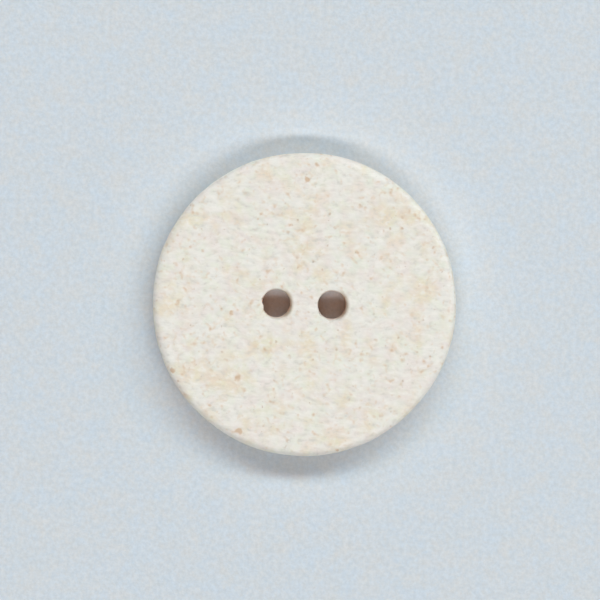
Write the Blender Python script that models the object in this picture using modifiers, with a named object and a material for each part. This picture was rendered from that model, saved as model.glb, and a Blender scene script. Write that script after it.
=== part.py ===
"""Two-hole sew-on button: one flat moulded disc with a rounded rim and two sewing holes.

Metres, with +Z out of the front face. The origin is the centre of the flat back face, which
lies against the cloth, and the two sewing holes lie side by side along X.
"""

import math

import bpy

# Driving dimensions.
DIAMETER = 0.025
THICKNESS = 0.003
FRONT_EDGE_RADIUS = 0.00070
BACK_EDGE_RADIUS = 0.00090
HOLE_DIAMETER = 0.00235
HOLE_SPACING = 0.0046
MOUTH_RADIUS = 0.00025

# The mouth's rounding has its centre raised by this share of its radius, so that it crosses
# the face at a clear angle instead of touching it along a tangent.
MOUTH_RISE = 0.15
# How far each cutter stands past both faces.
CUTTER_OVERSHOOT = 0.0005

# How finely the round surfaces are faceted.
RIM_STEPS = 96
HOLE_STEPS = 40
EDGE_SEGMENTS = 5
MOUTH_SEGMENTS = 5
MERGE_DISTANCE = 1e-6

# The disc's finish: cream composite with a dull, slightly waxy surface.
CREAM = (0.80, 0.76, 0.68, 1.0)
ROUGHNESS = 0.6
METALLIC = 0.0


def clear_scene():
    for obj in list(bpy.data.objects):
        bpy.data.objects.remove(obj, do_unlink=True)


def new_collection(name):
    collection = bpy.data.collections.new(name)
    bpy.context.scene.collection.children.link(collection)
    return collection


def arc(centre_x, centre_z, radius, start_deg, end_deg, segments):
    """Points on an arc in the XZ plane, both ends included; angles run from +X towards +Z."""
    points = []
    for i in range(segments + 1):
        angle = math.radians(start_deg + (end_deg - start_deg) * i / segments)
        x = centre_x + radius * math.cos(angle)
        z = centre_z + radius * math.sin(angle)
        points.append((x, z))
    return points


def disc_profile():
    """Half section of the disc, from the axis at the front, round the rim, to the axis at the back."""
    rim = DIAMETER / 2
    front_edge = arc(
        rim - FRONT_EDGE_RADIUS, THICKNESS - FRONT_EDGE_RADIUS, FRONT_EDGE_RADIUS, 90, 0, EDGE_SEGMENTS
    )
    back_edge = arc(rim - BACK_EDGE_RADIUS, BACK_EDGE_RADIUS, BACK_EDGE_RADIUS, 0, -90, EDGE_SEGMENTS)
    return [(0, THICKNESS), *front_edge, *back_edge, (0, 0)]


def hole_profile():
    """Half section of a hole's cutter: a straight bore that opens into a rounded mouth at each face."""
    mouth_x = HOLE_DIAMETER / 2 + MOUTH_RADIUS
    inset = MOUTH_RADIUS * (1 - MOUTH_RISE)
    front_mouth = arc(mouth_x, THICKNESS - inset, MOUTH_RADIUS, 90, 180, MOUTH_SEGMENTS)
    back_mouth = arc(mouth_x, inset, MOUTH_RADIUS, 180, 270, MOUTH_SEGMENTS)
    front_end = THICKNESS + CUTTER_OVERSHOOT
    back_end = -CUTTER_OVERSHOOT
    front_cap = [(0, front_end), (mouth_x, front_end)]
    back_cap = [(mouth_x, back_end), (0, back_end)]
    return [*front_cap, *front_mouth, *back_mouth, *back_cap]


def turned_object(name, profile, steps, collection):
    """A solid turned about its own Z from a half section that runs down its outer side."""
    mesh = bpy.data.meshes.new(name)
    vertices = [(x, 0, z) for x, z in profile]
    edges = [(i, i + 1) for i in range(len(profile) - 1)]
    mesh.from_pydata(vertices, edges, [])
    obj = bpy.data.objects.new(name, mesh)
    collection.objects.link(obj)
    screw = obj.modifiers.new("Turn", "SCREW")
    screw.axis = "Z"
    screw.angle = math.tau
    screw.steps = steps
    screw.render_steps = steps
    screw.use_merge_vertices = True
    screw.merge_threshold = MERGE_DISTANCE
    screw.use_smooth_shade = True
    return obj


def cream_composite():
    material = bpy.data.materials.new("cream_composite")
    material.use_nodes = True
    shader = material.node_tree.nodes["Principled BSDF"]
    shader.inputs["Base Color"].default_value = CREAM
    shader.inputs["Roughness"].default_value = ROUGHNESS
    shader.inputs["Metallic"].default_value = METALLIC
    material.diffuse_color = CREAM
    return material


def sewing_hole_cutters(collection):
    """One cutter for each sewing hole, on either side of the centre along X."""
    cutters = []
    for side, sign in (("left", -1), ("right", 1)):
        cutter = turned_object(f"cut_hole_{side}", hole_profile(), HOLE_STEPS, collection)
        cutter.location.x = sign * HOLE_SPACING / 2
        cutter.hide_render = True
        cutter.display_type = "WIRE"
        cutters.append(cutter)
    return cutters


def button_disc(collection, cutters):
    disc = turned_object("button_disc", disc_profile(), RIM_STEPS, collection)
    for cutter in cutters:
        cut = disc.modifiers.new(cutter.name, "BOOLEAN")
        cut.operation = "DIFFERENCE"
        cut.solver = "EXACT"
        cut.object = cutter
    # Large faces set the shading, so the flat faces look flat and the edges look round.
    disc.modifiers.new("Weighted_normals", "WEIGHTED_NORMAL")
    disc.data.materials.append(cream_composite())
    return disc


def build():
    clear_scene()
    parts = new_collection("sew_on_button")
    cutter_parts = new_collection("cutters")
    cutter_parts.hide_render = True
    cutters = sewing_hole_cutters(cutter_parts)
    button_disc(parts, cutters)


build()
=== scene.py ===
"""Looks for the two-hole sew-on button: a finely modelled cream composite disc on pale paper.

Metres, in the frame's own axes: +Z out of the button's front face and the sewing holes along X.
The mesh code works in millimetres and converts once, when the mesh is made.
"""

import math

import bpy
import numpy as np
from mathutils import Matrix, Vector, noise
from mathutils.geometry import delaunay_2d_cdt


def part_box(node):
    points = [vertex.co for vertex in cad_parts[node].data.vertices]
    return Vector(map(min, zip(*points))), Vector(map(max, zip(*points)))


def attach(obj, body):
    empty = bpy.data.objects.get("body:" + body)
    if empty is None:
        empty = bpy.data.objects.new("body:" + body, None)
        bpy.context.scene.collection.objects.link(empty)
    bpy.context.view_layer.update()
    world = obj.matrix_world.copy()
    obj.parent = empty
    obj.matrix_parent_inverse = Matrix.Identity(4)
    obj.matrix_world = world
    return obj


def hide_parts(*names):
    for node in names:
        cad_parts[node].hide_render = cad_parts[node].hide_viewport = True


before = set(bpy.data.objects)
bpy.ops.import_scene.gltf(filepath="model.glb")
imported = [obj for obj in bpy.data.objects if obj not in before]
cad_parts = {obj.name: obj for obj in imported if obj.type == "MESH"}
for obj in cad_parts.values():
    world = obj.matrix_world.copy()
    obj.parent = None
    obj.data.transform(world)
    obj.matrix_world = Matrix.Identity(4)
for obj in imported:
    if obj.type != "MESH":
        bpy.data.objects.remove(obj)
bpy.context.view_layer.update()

NODE = "button_disc"
MM = 0.001

# ---------------------------------------------------------------- shape, in millimetres

low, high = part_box(NODE)
RADIUS = (high.x - low.x) / 2 / MM
THICKNESS = (high.z - low.z) / MM
HOLE_RADIUS = 1.175
HOLE_OFFSET = 2.3
FRONT_EDGE = 0.70
BACK_EDGE = 0.90
MOUTH = 0.14

# Distance between neighbouring points on each part of the surface.
FRONT_SPACING = 0.12
BACK_SPACING = 0.19
RIM_POINTS = 640
HOLE_POINTS = 108
WALL_SPACING = 0.12
FRONT_EDGE_SEGMENTS = 8
BACK_EDGE_SEGMENTS = 5
MOUTH_SEGMENTS = 4

# Lattice points keep this share of their spacing away from every border.
BORDER_GAP = 0.6

# Slow wander of the outline, as left by hand finishing: (waves round the rim, size, phase).
OUTLINE_WAVES = ((3, 0.020, 0.4), (5, 0.016, 1.9), (8, 0.012, 4.0), (13, 0.008, 2.2))
# The wander starts at this share of the radius and is full at the rim.
WANDER_FROM = 0.6

# Each hole is worn on one side, where its mouth is a sloping chamfer: how far the chamfer reaches
# in over the bore, how much deeper it goes than the rounding, and the directions of both.
WORN_IN = 0.03
WORN_IN_DEG = -38
WORN_DOWN = 0.34
WORN_DOWN_DEG = -72

# Chips at the hole mouths: (hole side, angle in degrees, half width in degrees, reach, depth).
# A negative reach leaves a small tooth instead.
MOUTH_CHIPS = (
    (-1, 192, 12, -0.10, 0.60),
    (-1, -33, 12, 0.18, 0.16),
    (-1, 163, 7, 0.07, 0.30),
    (1, -142, 10, 0.10, 0.40),
    (1, -95, 11, 0.11, 0.35),
)
# A chip has died away at this many times its reach from the bore.
CHIP_SPREAD = 4

# Heights of the relief: short smears, ridges, fine grain and broad swells.
SMEAR_HEIGHT = 0.016
RIDGE_HEIGHT = 0.012
GRAIN_HEIGHT = 0.004
SWELL_HEIGHT = 0.012

# The back, which is the side it was moulded on, has less relief than the rest.
BACK_RELIEF = 0.25
BACK_FACING = -0.9


def ring(centre_x, radius, count):
    """Points of a circle round (centre_x, 0), anticlockwise."""
    angles = np.arange(count) * math.tau / count
    return np.stack([centre_x + radius * np.cos(angles), radius * np.sin(angles)], axis=1)


def lattice(spacing, outer, hole):
    """A triangular lattice inside the circle of radius outer and clear of both holes."""
    row_height = spacing * math.sqrt(3) / 2
    rows = int(outer / row_height) + 1
    columns = int(outer / spacing) + 1
    points = []
    for row in range(-rows, rows + 1):
        for column in range(-columns, columns + 1):
            points.append(((column + 0.5 * (row % 2)) * spacing, row * row_height))
    points = np.array(points)
    keep = np.hypot(points[:, 0], points[:, 1]) < outer - BORDER_GAP * spacing
    for side in (-1, 1):
        away = np.hypot(points[:, 0] - side * HOLE_OFFSET, points[:, 1])
        keep &= away > hole + BORDER_GAP * spacing
    return points[keep]


def face_triangles(outer, hole, spacing):
    """A flat face with both holes open: its points, rim first and then each hole, and triangles."""
    rings = [ring(0, outer, RIM_POINTS)]
    rings += [ring(side * HOLE_OFFSET, hole, HOLE_POINTS) for side in (-1, 1)]
    edges = []
    start = 0
    for loop in rings:
        count = len(loop)
        edges += [(start + i, start + (i + 1) % count) for i in range(count)]
        start += count
    points = np.concatenate([*rings, lattice(spacing, outer, hole)])
    made = delaunay_2d_cdt([Vector(p) for p in points], edges, [], 0, 1e-6)
    flat = np.array([tuple(v) for v in made[0]])
    triangles = np.array(made[2])
    middle = flat[triangles].mean(axis=1)
    in_hole = np.zeros(len(triangles), bool)
    for side in (-1, 1):
        in_hole |= np.hypot(middle[:, 0] - side * HOLE_OFFSET, middle[:, 1]) < hole
    return flat, triangles[~in_hole]


def quarter(centre_r, centre_z, radius, start_deg, end_deg, segments):
    """Section points (r, z, outward r, outward z) along an arc."""
    points = []
    for i in range(segments + 1):
        angle = math.radians(start_deg + (end_deg - start_deg) * i / segments)
        out_r, out_z = math.cos(angle), math.sin(angle)
        points.append((centre_r + radius * out_r, centre_z + radius * out_z, out_r, out_z))
    return points


def straight(r, z_from, z_to, out_r):
    """Section points down a wall, without its two ends."""
    count = max(2, round(abs(z_from - z_to) / WALL_SPACING))
    return [(r, z_from + (z_to - z_from) * i / count, out_r, 0.0) for i in range(1, count)]


def rim_section():
    """Round the rim from the front face's border to the back face's border."""
    front = quarter(RADIUS - FRONT_EDGE, THICKNESS - FRONT_EDGE, FRONT_EDGE, 90, 0, FRONT_EDGE_SEGMENTS)
    back = quarter(RADIUS - BACK_EDGE, BACK_EDGE, BACK_EDGE, 0, -90, BACK_EDGE_SEGMENTS)
    return front + straight(RADIUS, THICKNESS - FRONT_EDGE, BACK_EDGE, 1.0) + back


def hole_section():
    """Down a sewing hole from its front mouth to its back mouth."""
    front = quarter(HOLE_RADIUS + MOUTH, THICKNESS - MOUTH, MOUTH, 90, 180, MOUTH_SEGMENTS)
    back = quarter(HOLE_RADIUS + MOUTH, MOUTH, MOUTH, 180, 270, MOUTH_SEGMENTS)
    return front + straight(HOLE_RADIUS, THICKNESS - MOUTH, MOUTH, -1.0) + back


def ideal_surface():
    """The button's smooth closed surface: points, outward directions and faces."""
    mouth = HOLE_RADIUS + MOUTH
    front, front_faces = face_triangles(RADIUS - FRONT_EDGE, mouth, FRONT_SPACING)
    back, back_faces = face_triangles(RADIUS - BACK_EDGE, mouth, BACK_SPACING)
    points = [np.column_stack([front, np.full(len(front), THICKNESS)])]
    outward = [np.tile((0.0, 0.0, 1.0), (len(front), 1))]
    points.append(np.column_stack([back, np.zeros(len(back))]))
    outward.append(np.tile((0.0, 0.0, -1.0), (len(back), 1)))
    faces = [tuple(t) for t in front_faces]
    faces += [tuple(t[::-1] + len(front)) for t in back_faces]
    total = len(front) + len(back)
    loops = ((0, 0.0, RIM_POINTS, rim_section(), False),)
    first = RIM_POINTS
    for side in (-1, 1):
        loops += ((first, side * HOLE_OFFSET, HOLE_POINTS, hole_section(), True),)
        first += HOLE_POINTS
    for start, centre_x, count, section, inwards in loops:
        around = ring(0, 1.0, count)
        above = start + np.arange(count)
        for r, z, out_r, out_z in section[1:-1]:
            points.append(np.column_stack([around * r, np.full(count, z)]) + (centre_x, 0, 0))
            outward.append(np.column_stack([around * out_r, np.full(count, out_z)]))
            below = total + np.arange(count)
            total += count
            faces += band(above, below, inwards)
            above = below
        faces += band(above, len(front) + start + np.arange(count), inwards)
    return np.concatenate(points), np.concatenate(outward), faces


def band(above, below, inwards):
    """Quads between two rings of points, facing away from the rings' axis or towards it."""
    quads = np.column_stack([above, below, np.roll(below, -1), np.roll(above, -1)])
    if inwards:
        quads = quads[:, ::-1]
    return [tuple(q) for q in quads]


def noise_at(points, size, stretch=(1, 1, 1), shift=0.0):
    """Smooth noise from about -1 to 1 at each point, with features about size across."""
    scaled = points / (np.array(stretch) * size) + shift
    return np.array([noise.noise(p) for p in scaled])


def smooth_step(x, start, end):
    t = np.clip((x - start) / (end - start), 0, 1)
    return t * t * (3 - 2 * t)


def wander_outline(points):
    """The rim moves in and out a little as it goes round; the middle stays where it is."""
    angle = np.arctan2(points[:, 1], points[:, 0])
    distance = np.hypot(points[:, 0], points[:, 1])
    offset = sum(size * np.sin(waves * angle + phase) for waves, size, phase in OUTLINE_WAVES)
    grow = 1 + offset * smooth_step(distance, WANDER_FROM * RADIUS, RADIUS) / RADIUS
    points[:, 0] *= grow
    points[:, 1] *= grow


def wear_mouths(points, outward):
    """On each hole's worn side the mouth is a chamfer that reaches in and down."""
    level = np.abs(outward[:, 2])
    steep = np.hypot(outward[:, 0], outward[:, 1])
    for side in (-1, 1):
        dx = points[:, 0] - side * HOLE_OFFSET
        dy = points[:, 1]
        in_hole = np.hypot(dx, dy) < HOLE_RADIUS + MOUTH + 0.01
        angle = np.arctan2(dy, dx)
        inward = np.maximum(np.cos(angle - math.radians(WORN_IN_DEG)), 0) * in_hole
        down = np.maximum(np.cos(angle - math.radians(WORN_DOWN_DEG)), 0) * in_hole
        height = np.clip((points[:, 2] - MOUTH) / (THICKNESS - 2 * MOUTH), 0, 1)
        rounding = (1 - level) * WORN_DOWN * down
        flattening = (steep + level - 1) * (MOUTH + WORN_DOWN * down) * inward
        points[:, :2] += WORN_IN * inward[:, None] * outward[:, :2]
        points[:, 2] -= (rounding + flattening) * height


def chip_mouths(points):
    """Small chips widen each front mouth and fade into the face and down the bore."""
    for side, angle_deg, half_width, reach, depth in MOUTH_CHIPS:
        dx = points[:, 0] - side * HOLE_OFFSET
        dy = points[:, 1]
        distance = np.hypot(dx, dy)
        turn = np.degrees(np.arctan2(dy, dx)) - angle_deg
        turn = (turn + 180) % 360 - 180
        below = THICKNESS - points[:, 2]
        share = np.exp(-((turn / half_width) ** 2)) * np.exp(-((below / depth) ** 2))
        edge = HOLE_RADIUS + CHIP_SPREAD * abs(reach)
        share *= 1 - smooth_step(distance, HOLE_RADIUS, edge)
        share *= distance < edge
        grow = 1 + reach * share / np.maximum(distance, 1e-6)
        points[:, 0] = side * HOLE_OFFSET + dx * grow
        points[:, 1] = dy * grow


def relief(points):
    """Height of the fine relief over the ideal surface, along its outward direction."""
    along = 0.8 * noise_at(points, 3.1, shift=7.0)
    across = 0.7 * noise_at(points, 3.1, shift=23.0)
    bent = points + np.column_stack([along, across, along * 0.3])
    smears = noise_at(bent, 0.55, (2.2, 0.9, 1.4), 3.0)
    ridges = 1 - 2 * np.abs(noise_at(bent, 1.1, (1.7, 0.8, 1.0), 11.0))
    grain = noise_at(points, 0.30, (1.5, 1, 1), 19.0)
    swell = noise_at(points, 3.5, shift=31.0)
    fine = SMEAR_HEIGHT * smears + RIDGE_HEIGHT * ridges + GRAIN_HEIGHT * grain
    return fine + SWELL_HEIGHT * swell


def button_mesh():
    points, outward, faces = ideal_surface()
    heights = relief(points) * np.where(outward[:, 2] < BACK_FACING, BACK_RELIEF, 1.0)
    points = points + outward * heights[:, None]
    wander_outline(points)
    wear_mouths(points, outward)
    chip_mouths(points)
    mesh = bpy.data.meshes.new("sew_on_button")
    mesh.from_pydata((points * MM).tolist(), [], faces)
    mesh.validate()
    for polygon in mesh.polygons:
        polygon.use_smooth = True
    return mesh


# ---------------------------------------------------------------- materials


class Nodes:
    """Builds a node tree in code: each call adds one node and returns its output."""

    def __init__(self, material):
        material.use_nodes = True
        self.tree = material.node_tree
        self.tree.nodes.clear()

    def add(self, kind, inputs=(), output=0, **settings):
        node = self.tree.nodes.new(kind)
        for name, value in settings.items():
            setattr(node, name, value)
        for name, value in dict(inputs).items():
            self.put(node.inputs[name], value)
        return node.outputs[output] if output is not None else node

    def put(self, socket, value):
        if isinstance(value, bpy.types.NodeSocket):
            self.tree.links.new(value, socket)
        else:
            socket.default_value = value

    def math(self, operation, a, b=0.0, c=0.0):
        return self.add("ShaderNodeMath", {0: a, 1: b, 2: c}, operation=operation)

    def fade(self, value, start, end, low=0.0, high=1.0):
        """value, mapped from start..end to low..high with soft ends."""
        inputs = {"Value": value, "From Min": start, "From Max": end, "To Min": low, "To Max": high}
        return self.add("ShaderNodeMapRange", inputs, interpolation_type="SMOOTHSTEP")

    def mix(self, share, a, b, blend="MIX"):
        inputs = {0: share, 6: a, 7: b}
        return self.add("ShaderNodeMix", inputs, 2, data_type="RGBA", blend_type=blend)

    def noise(self, where, scale, detail=2.0, roughness=0.5):
        inputs = {"Vector": where, "Scale": scale, "Detail": detail, "Roughness": roughness}
        return self.add("ShaderNodeTexNoise", inputs)

    def place(self, where, stretch=(1, 1, 1), turn_deg=0.0, shift=(0, 0, 0)):
        """Texture coordinates turned about Z, then stretched."""
        turned = self.add(
            "ShaderNodeMapping", {"Vector": where, "Rotation": (0, 0, math.radians(turn_deg))}
        )
        return self.add(
            "ShaderNodeMapping", {"Vector": turned, "Scale": stretch, "Location": shift}
        )

    def voronoi(self, where, scale):
        """Distance in cells to the nearest seed point, and that seed's random numbers."""
        node = self.add("ShaderNodeTexVoronoi", {"Vector": where, "Scale": scale}, None)
        split = self.add("ShaderNodeSeparateColor", {"Color": node.outputs["Color"]}, None)
        return node.outputs["Distance"], split.outputs[0], split.outputs[1]

    def millimetres(self):
        """The piece's own coordinates in millimetres."""
        local = self.add("ShaderNodeTexCoord", output=3)
        return self.place(local, stretch=(1 / MM, 1 / MM, 1 / MM))


CREAM = (0.846, 0.838, 0.778, 1)
TAN = (0.834, 0.772, 0.622, 1)
ROSE = (1.0, 0.946, 0.950, 1)
LIME = (0.978, 1.0, 0.955, 1)
CHALK = (0.905, 0.885, 0.825, 1)
SHADE = (0.650, 0.632, 0.570, 1)
AMBER = (0.70, 0.53, 0.35, 1)
RUST = (0.56, 0.33, 0.15, 1)
UMBER = (0.26, 0.24, 0.21, 1)
STREAK = (0.78, 0.785, 0.79, 1)
# The next three colours paint light and shade: shade in the holes, a warm tint low on the rim whose
# bounce warms the paper's shadow, and shade on one side of each mouth.
BORE_SHADE = (0.83, 0.48, 0.33, 1)
UNDERSIDE = (0.99, 0.86, 0.775, 1)
MOUTH_SHADE = (0.62, 0.52, 0.44, 1)

# The paper's fibres run between the first two; two faint tints drift over it in soft patches.
PAPER_DARK = (0.607, 0.667, 0.713, 1)
PAPER_LIGHT = (0.700, 0.760, 0.810, 1)
PAPER_WARM = (1.035, 0.985, 0.935, 1)
PAPER_COOL = (0.940, 0.995, 1.045, 1)

# Height of the fine bumps on the composite and on the paper, in metres.
COMPOSITE_BUMP = 0.00006
PAPER_BUMP = 0.00003

# The lower rim and the back turn browner between these heights, in millimetres: a painted warm tint,
# there so that its bounced light warms the paper's shadow beside the button.
BROWNER_FROM = 2.2
BROWNEST_AT = 0.8

# A bore's painted shade sets in between these depths below the front face, and the painted shade
# on one side of a mouth fades out between these, in millimetres. The last value is how far that
# mouth shade reaches from the bore.
BORE_SHADE_DEPTHS = (0.30, 1.1)
MOUTH_SHADE_DEPTHS = (0.5, 0.9)
MOUTH_SHADE_REACH = 0.38

# The broadest pale smears, in millimetres: (x, y, half width, half height, turn, strength).
PALE_SMEARS = (
    (7.8, 4.1, 1.9, 0.55, 68, 0.16),
    (6.3, 5.9, 1.4, 0.60, 20, 0.16),
    (-2.8, 3.2, 1.9, 0.80, 5, 0.16),
    (-6.5, -2.7, 1.7, 0.80, 10, 0.16),
    (1.3, -0.6, 2.2, 0.55, -2, 0.16),
    (5.5, -1.3, 2.0, 0.50, -4, 0.16),
    (1.0, 10.0, 2.4, 0.60, 0, 0.16),
)


def soft_ovals(n, where, ovals):
    """The strongest of some soft-edged ovals on the front face."""
    total = 0.0
    for x, y, half_width, half_height, turn_deg, strength in ovals:
        away = n.add("ShaderNodeVectorMath", {0: where, 1: (x, y, THICKNESS)}, operation="SUBTRACT")
        longest = max(half_width, half_height)
        size = (1 / half_width, 1 / half_height, 1 / longest)
        local = n.place(away, size, -turn_deg)
        distance = n.add("ShaderNodeVectorMath", {0: local}, "Value", operation="LENGTH")
        total = n.math("MAXIMUM", total, n.fade(distance, 1.0, 0.0, 0.0, strength))
    return total


def shaken(n, mm, scale, detail, reach):
    """Coordinates pushed about by noise, so that round shapes become ragged."""
    push = n.add("ShaderNodeTexNoise", {"Vector": mm, "Scale": scale, "Detail": detail}, 1)
    push = n.add("ShaderNodeVectorMath", {0: push, 1: (0.5, 0.5, 0.5)}, operation="SUBTRACT")
    push = n.add("ShaderNodeVectorMath", {0: push, "Scale": reach}, operation="SCALE")
    return n.add("ShaderNodeVectorMath", {0: mm, 1: push}, operation="ADD")


def dots(n, where, scale, smallest, spread, room):
    """Round dots on scattered points: how far inside one, and its two random numbers."""
    distance, kind, hue = n.voronoi(where, scale)
    size = n.math("MULTIPLY", n.math("MULTIPLY_ADD", kind, spread, smallest), room)
    return n.fade(n.math("DIVIDE", distance, size), 1.3, 0.1), kind, hue


def composite_material():
    material = bpy.data.materials.new("speckled_composite")
    n = Nodes(material)
    mm = n.millimetres()
    bent = shaken(n, mm, 0.30, 2.0, 1.0)
    swirled = shaken(n, mm, 0.9, 3.0, 1.6)
    ragged = shaken(n, mm, 2.5, 2.0, 0.30)

    # Slow tint: cream that turns tan, a touch rosy or a touch green in soft patches.
    tan = n.noise(mm, 0.50, detail=1.6, roughness=0.6)
    colour = n.mix(n.fade(tan, 0.43, 0.75), CREAM, TAN)
    rose = n.noise(n.place(mm, shift=(31, 7, 3)), 0.7, detail=1, roughness=0.5)
    colour = n.mix(n.fade(rose, 0.36, 0.66), colour, ROSE, "MULTIPLY")
    lime = n.noise(n.place(mm, shift=(63, 19, 3)), 1.1, detail=1, roughness=0.5)
    colour = n.mix(n.fade(lime, 0.42, 0.68), colour, LIME, "MULTIPLY")

    # Chalky smears, faint shade and fine streaks along the grain.
    smears = n.noise(n.place(bent, (0.82, 1.18, 1.0), 2), 2.0, detail=2, roughness=0.5)
    pale = n.math("ADD", smears, soft_ovals(n, swirled, PALE_SMEARS))
    colour = n.mix(n.fade(pale, 0.455, 0.735, 0.0, 0.75), colour, CHALK)
    colour = n.mix(n.fade(smears, 0.464, 0.225, 0.0, 0.60), colour, SHADE)
    streaks = n.noise(n.place(bent, (0.5, 1.6, 1.0), 1, (3, 5, 7)), 1.9, detail=2, roughness=0.6)
    colour = n.mix(n.fade(streaks, 0.42, 0.62, 0.0, 0.20), colour, STREAK, "MULTIPLY")

    # Rusty inclusions lie scattered and also crowd together: amber halos round darker flecks,
    # with fine dark specks between them.
    crowd = n.noise(n.place(mm, shift=(5, 43, 3)), 0.54, detail=2, roughness=0.6)
    rust = n.noise(mm, 2.4, detail=0.6)
    rust = n.math("MULTIPLY_ADD", crowd, 0.5, rust)
    inclusion = dots(n, ragged, 0.40, 0.04, 0.12, 1.0)[0]
    rust = n.math("MULTIPLY_ADD", inclusion, 0.42, rust)
    colour = n.mix(n.fade(rust, 0.83, 1.05, 0.0, 0.36), colour, AMBER)
    colour = n.mix(n.fade(rust, 0.98, 1.18, 0.0, 0.50), colour, RUST)
    room = n.fade(rust, 0.65, 0.95, 0.30, 1.0)
    fleck, fleck_kind, fleck_hue = dots(n, ragged, 2.0, 0.04, 0.34, room)
    fleck_share = n.math("MULTIPLY", fleck, n.math("MULTIPLY_ADD", fleck_hue, 0.50, 0.06))
    colour = n.mix(fleck_share, colour, n.mix(fleck_kind, UMBER, RUST))
    speck, _, speck_hue = dots(n, ragged, 3.0, 0.02, 0.17, 1.0)
    colour = n.mix(n.math("MULTIPLY", speck, n.math("MULTIPLY", speck_hue, 0.30)), colour, UMBER)

    # The lower rim and the back are a little browner than the front, a painted warm tint whose bounce
    # warms the paper's shadow. The bores are much browner deeper down and less so on their -Y side,
    # as painted shade and light, and one side of each mouth is darker, as painted shade.
    height = n.add("ShaderNodeSeparateXYZ", {0: mm}, "Z")
    low_rim = n.fade(height, BROWNER_FROM, BROWNEST_AT)
    colour = n.mix(low_rim, colour, UNDERSIDE, "MULTIPLY")
    bore_shade, mouth = hole_shares(n, mm)
    colour = n.mix(bore_shade, colour, BORE_SHADE)
    colour = n.mix(mouth, colour, MOUTH_SHADE, "MULTIPLY")

    shader = n.add("ShaderNodeBsdfPrincipled", output=None)
    n.put(shader.inputs["Base Color"], colour)
    n.put(shader.inputs["Roughness"], n.fade(smears, 0.4, 0.7, 0.62, 0.48))
    shader.inputs["IOR"].default_value = 1.5
    bump = n.add("ShaderNodeBump", {"Height": smears, "Strength": 1.0, "Distance": COMPOSITE_BUMP})
    n.put(shader.inputs["Normal"], bump)
    out = n.add("ShaderNodeOutputMaterial", output=None)
    n.put(out.inputs["Surface"], shader.outputs[0])
    return material


def hole_shares(n, mm):
    """How far the surface takes a sewing hole wall's painted shade, and the painted shade on one side
    of its mouth.
    """
    x, y, z = n.add("ShaderNodeSeparateXYZ", {0: mm}, None).outputs
    across = n.math("SUBTRACT", x, n.math("MULTIPLY", n.math("SIGN", x), HOLE_OFFSET))
    away = n.add("ShaderNodeCombineXYZ", {"X": across, "Y": y})
    distance = n.add("ShaderNodeVectorMath", {0: away}, "Value", operation="LENGTH")
    near = n.fade(distance, HOLE_RADIUS + 0.9 * MOUTH, HOLE_RADIUS + 0.2 * MOUTH)
    # Painted shade: the walls turn browner from some depth below the front face downwards.
    below_front = n.fade(z, THICKNESS - BORE_SHADE_DEPTHS[0], THICKNESS - BORE_SHADE_DEPTHS[1])
    above_back = n.fade(z, 0.1, 1.0, 0.2, 1.0)
    bore_shade = n.math("MULTIPLY", near, n.math("MULTIPLY", below_front, above_back))
    # Painted light: the walls on the -Y side, which the lamps above reach, keep less of the brown.
    bore_shade = n.math("MULTIPLY", bore_shade, n.fade(y, -1.1, 0.0, 0.35, 1.0))
    shallow = n.fade(z, THICKNESS - MOUTH_SHADE_DEPTHS[1], THICKNESS - MOUTH_SHADE_DEPTHS[0])
    # Painted shade on the +X side of each mouth, whose slope faces away from most of the lamps.
    shaded_side = n.math("MULTIPLY", n.fade(across, 0.2, 1.0), shallow)
    mouth = n.fade(distance, HOLE_RADIUS + MOUTH_SHADE_REACH, HOLE_RADIUS + 0.02)
    return bore_shade, n.math("MULTIPLY", mouth, shaded_side)


def paper_material():
    material = bpy.data.materials.new("pale_paper")
    n = Nodes(material)
    mm = n.millimetres()
    tooth = n.noise(mm, 2.6, detail=3, roughness=0.7)
    colour = n.mix(n.fade(tooth, 0.25, 0.75), PAPER_DARK, PAPER_LIGHT)
    warm = n.noise(n.place(mm, shift=(9, 27, 3)), 0.55, detail=4, roughness=0.85)
    colour = n.mix(n.fade(warm, 0.30, 0.70), colour, PAPER_WARM, "MULTIPLY")
    cool = n.noise(n.place(mm, shift=(51, 2, 3)), 0.55, detail=4, roughness=0.85)
    colour = n.mix(n.fade(cool, 0.30, 0.70), colour, PAPER_COOL, "MULTIPLY")
    shader = n.add("ShaderNodeBsdfPrincipled", output=None)
    n.put(shader.inputs["Base Color"], colour)
    shader.inputs["Roughness"].default_value = 0.9
    shader.inputs["Specular IOR Level"].default_value = 0.2
    bump = n.add("ShaderNodeBump", {"Height": tooth, "Strength": 1.0, "Distance": PAPER_BUMP})
    n.put(shader.inputs["Normal"], bump)
    out = n.add("ShaderNodeOutputMaterial", output=None)
    n.put(out.inputs["Surface"], shader.outputs[0])
    return material


# ---------------------------------------------------------------- stage, lights and camera

# The paper lies flat, then sweeps up a little at its far edge. Metres.
FLAT_RADIUS = 0.42
SWEEP_RADIUS = 0.24
SWEEP_DEG = 75
LIGHT_HEIGHT = 1.5
STAGE_SEGMENTS = 128
FLAT_RINGS = 6
SWEEP_RINGS = 10


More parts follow.
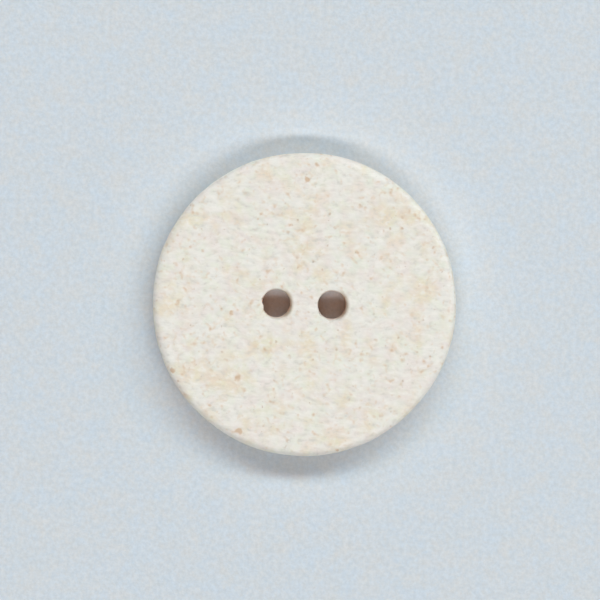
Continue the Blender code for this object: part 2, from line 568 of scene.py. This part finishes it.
def paper_stage():
    section = [(FLAT_RADIUS * i / FLAT_RINGS, 0.0) for i in range(1, FLAT_RINGS + 1)]
    for i in range(1, SWEEP_RINGS + 1):
        angle = math.radians(SWEEP_DEG * i / SWEEP_RINGS)
        r = FLAT_RADIUS + SWEEP_RADIUS * math.sin(angle)
        section.append((r, SWEEP_RADIUS * (1 - math.cos(angle))))
    points = [(0.0, 0.0, 0.0)]
    for r, z in section:
        points += [(x, y, z) for x, y in ring(0, r, STAGE_SEGMENTS)]
    faces = [(0, 1 + i, 1 + (i + 1) % STAGE_SEGMENTS) for i in range(STAGE_SEGMENTS)]
    for level in range(len(section) - 1):
        inner = 1 + level * STAGE_SEGMENTS + np.arange(STAGE_SEGMENTS)
        faces += band(inner, inner + STAGE_SEGMENTS, False)
    mesh = bpy.data.meshes.new("paper_sweep")
    mesh.from_pydata(points, [], faces)
    for polygon in mesh.polygons:
        polygon.use_smooth = True
    stage = bpy.data.objects.new("paper_sweep", mesh)
    bpy.context.scene.collection.objects.link(stage)
    mesh.materials.append(paper_material())


def softbox(name, lean_x, lean_y, share, tint):
    """A panel facing down. lean_x and lean_y are the slopes, from the button, of its edges.

    share is how much of the paper's light it gives: 1 lights a white surface to full white.
    """
    light = bpy.data.lights.new(name, "AREA")
    light.shape = "RECTANGLE"
    light.size = (lean_x[1] - lean_x[0]) * LIGHT_HEIGHT
    light.size_y = (lean_y[1] - lean_y[0]) * LIGHT_HEIGHT
    middle_x = sum(lean_x) / 2
    middle_y = sum(lean_y) / 2
    cosine_squared = 1 / (1 + middle_x**2 + middle_y**2)
    light.energy = share * (math.pi * LIGHT_HEIGHT / cosine_squared) ** 2
    light.color = tint
    panel = bpy.data.objects.new(name, light)
    panel.location = (middle_x * LIGHT_HEIGHT, middle_y * LIGHT_HEIGHT, LIGHT_HEIGHT)
    panel.visible_camera = False
    bpy.context.scene.collection.objects.link(panel)


def studio_lights():
    softbox("strip_above", (-0.42, 1.28), (0.73, 0.87), 0.225, (0.655, 0.98, 0.96))
    softbox("panel_above", (-1.05, 2.35), (0.60, 1.06), 0.540, (1.0, 0.86, 0.87))
    softbox("panel_below", (-0.42, 0.88), (-0.71, -0.55), 0.450, (1.0, 0.965, 0.955))


def world_light():
    world = bpy.data.worlds.new("studio")
    world.use_nodes = True
    world.node_tree.nodes["Background"].inputs["Strength"].default_value = 0.0
    bpy.context.scene.world = world


# The camera looks straight down. In millimetres: its lens and sensor, FIELD, the width it sees
# at the button's widest level, and AIM, the point it stands over before it is rolled.
LENS = 200.0
SENSOR = 36.0
FIELD = 49.46
CAMERA_ROLL_DEG = 1.74
AIM = (-0.340, 0.345)
WIDEST_Z = THICKNESS - FRONT_EDGE


def camera():
    data = bpy.data.cameras.new("camera")
    data.lens = LENS
    data.sensor_width = SENSOR
    data.clip_start = 0.01
    data.clip_end = 10.0
    cam = bpy.data.objects.new("camera", data)
    distance = FIELD * LENS / SENSOR
    roll = math.radians(CAMERA_ROLL_DEG)
    x = AIM[0] * math.cos(roll) - AIM[1] * math.sin(roll)
    y = AIM[0] * math.sin(roll) + AIM[1] * math.cos(roll)
    cam.location = (x * MM, y * MM, (WIDEST_Z + distance) * MM)
    cam.rotation_euler = (0, 0, roll)
    bpy.context.scene.collection.objects.link(cam)
    bpy.context.scene.camera = cam


def build():
    button = bpy.data.objects.new("button_composite", button_mesh())
    bpy.context.scene.collection.objects.link(button)
    button.data.materials.append(composite_material())
    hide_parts(NODE)
    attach(button, "root")
    paper_stage()
    studio_lights()
    world_light()
    camera()
    bpy.context.scene.view_settings.view_transform = "Standard"


build()
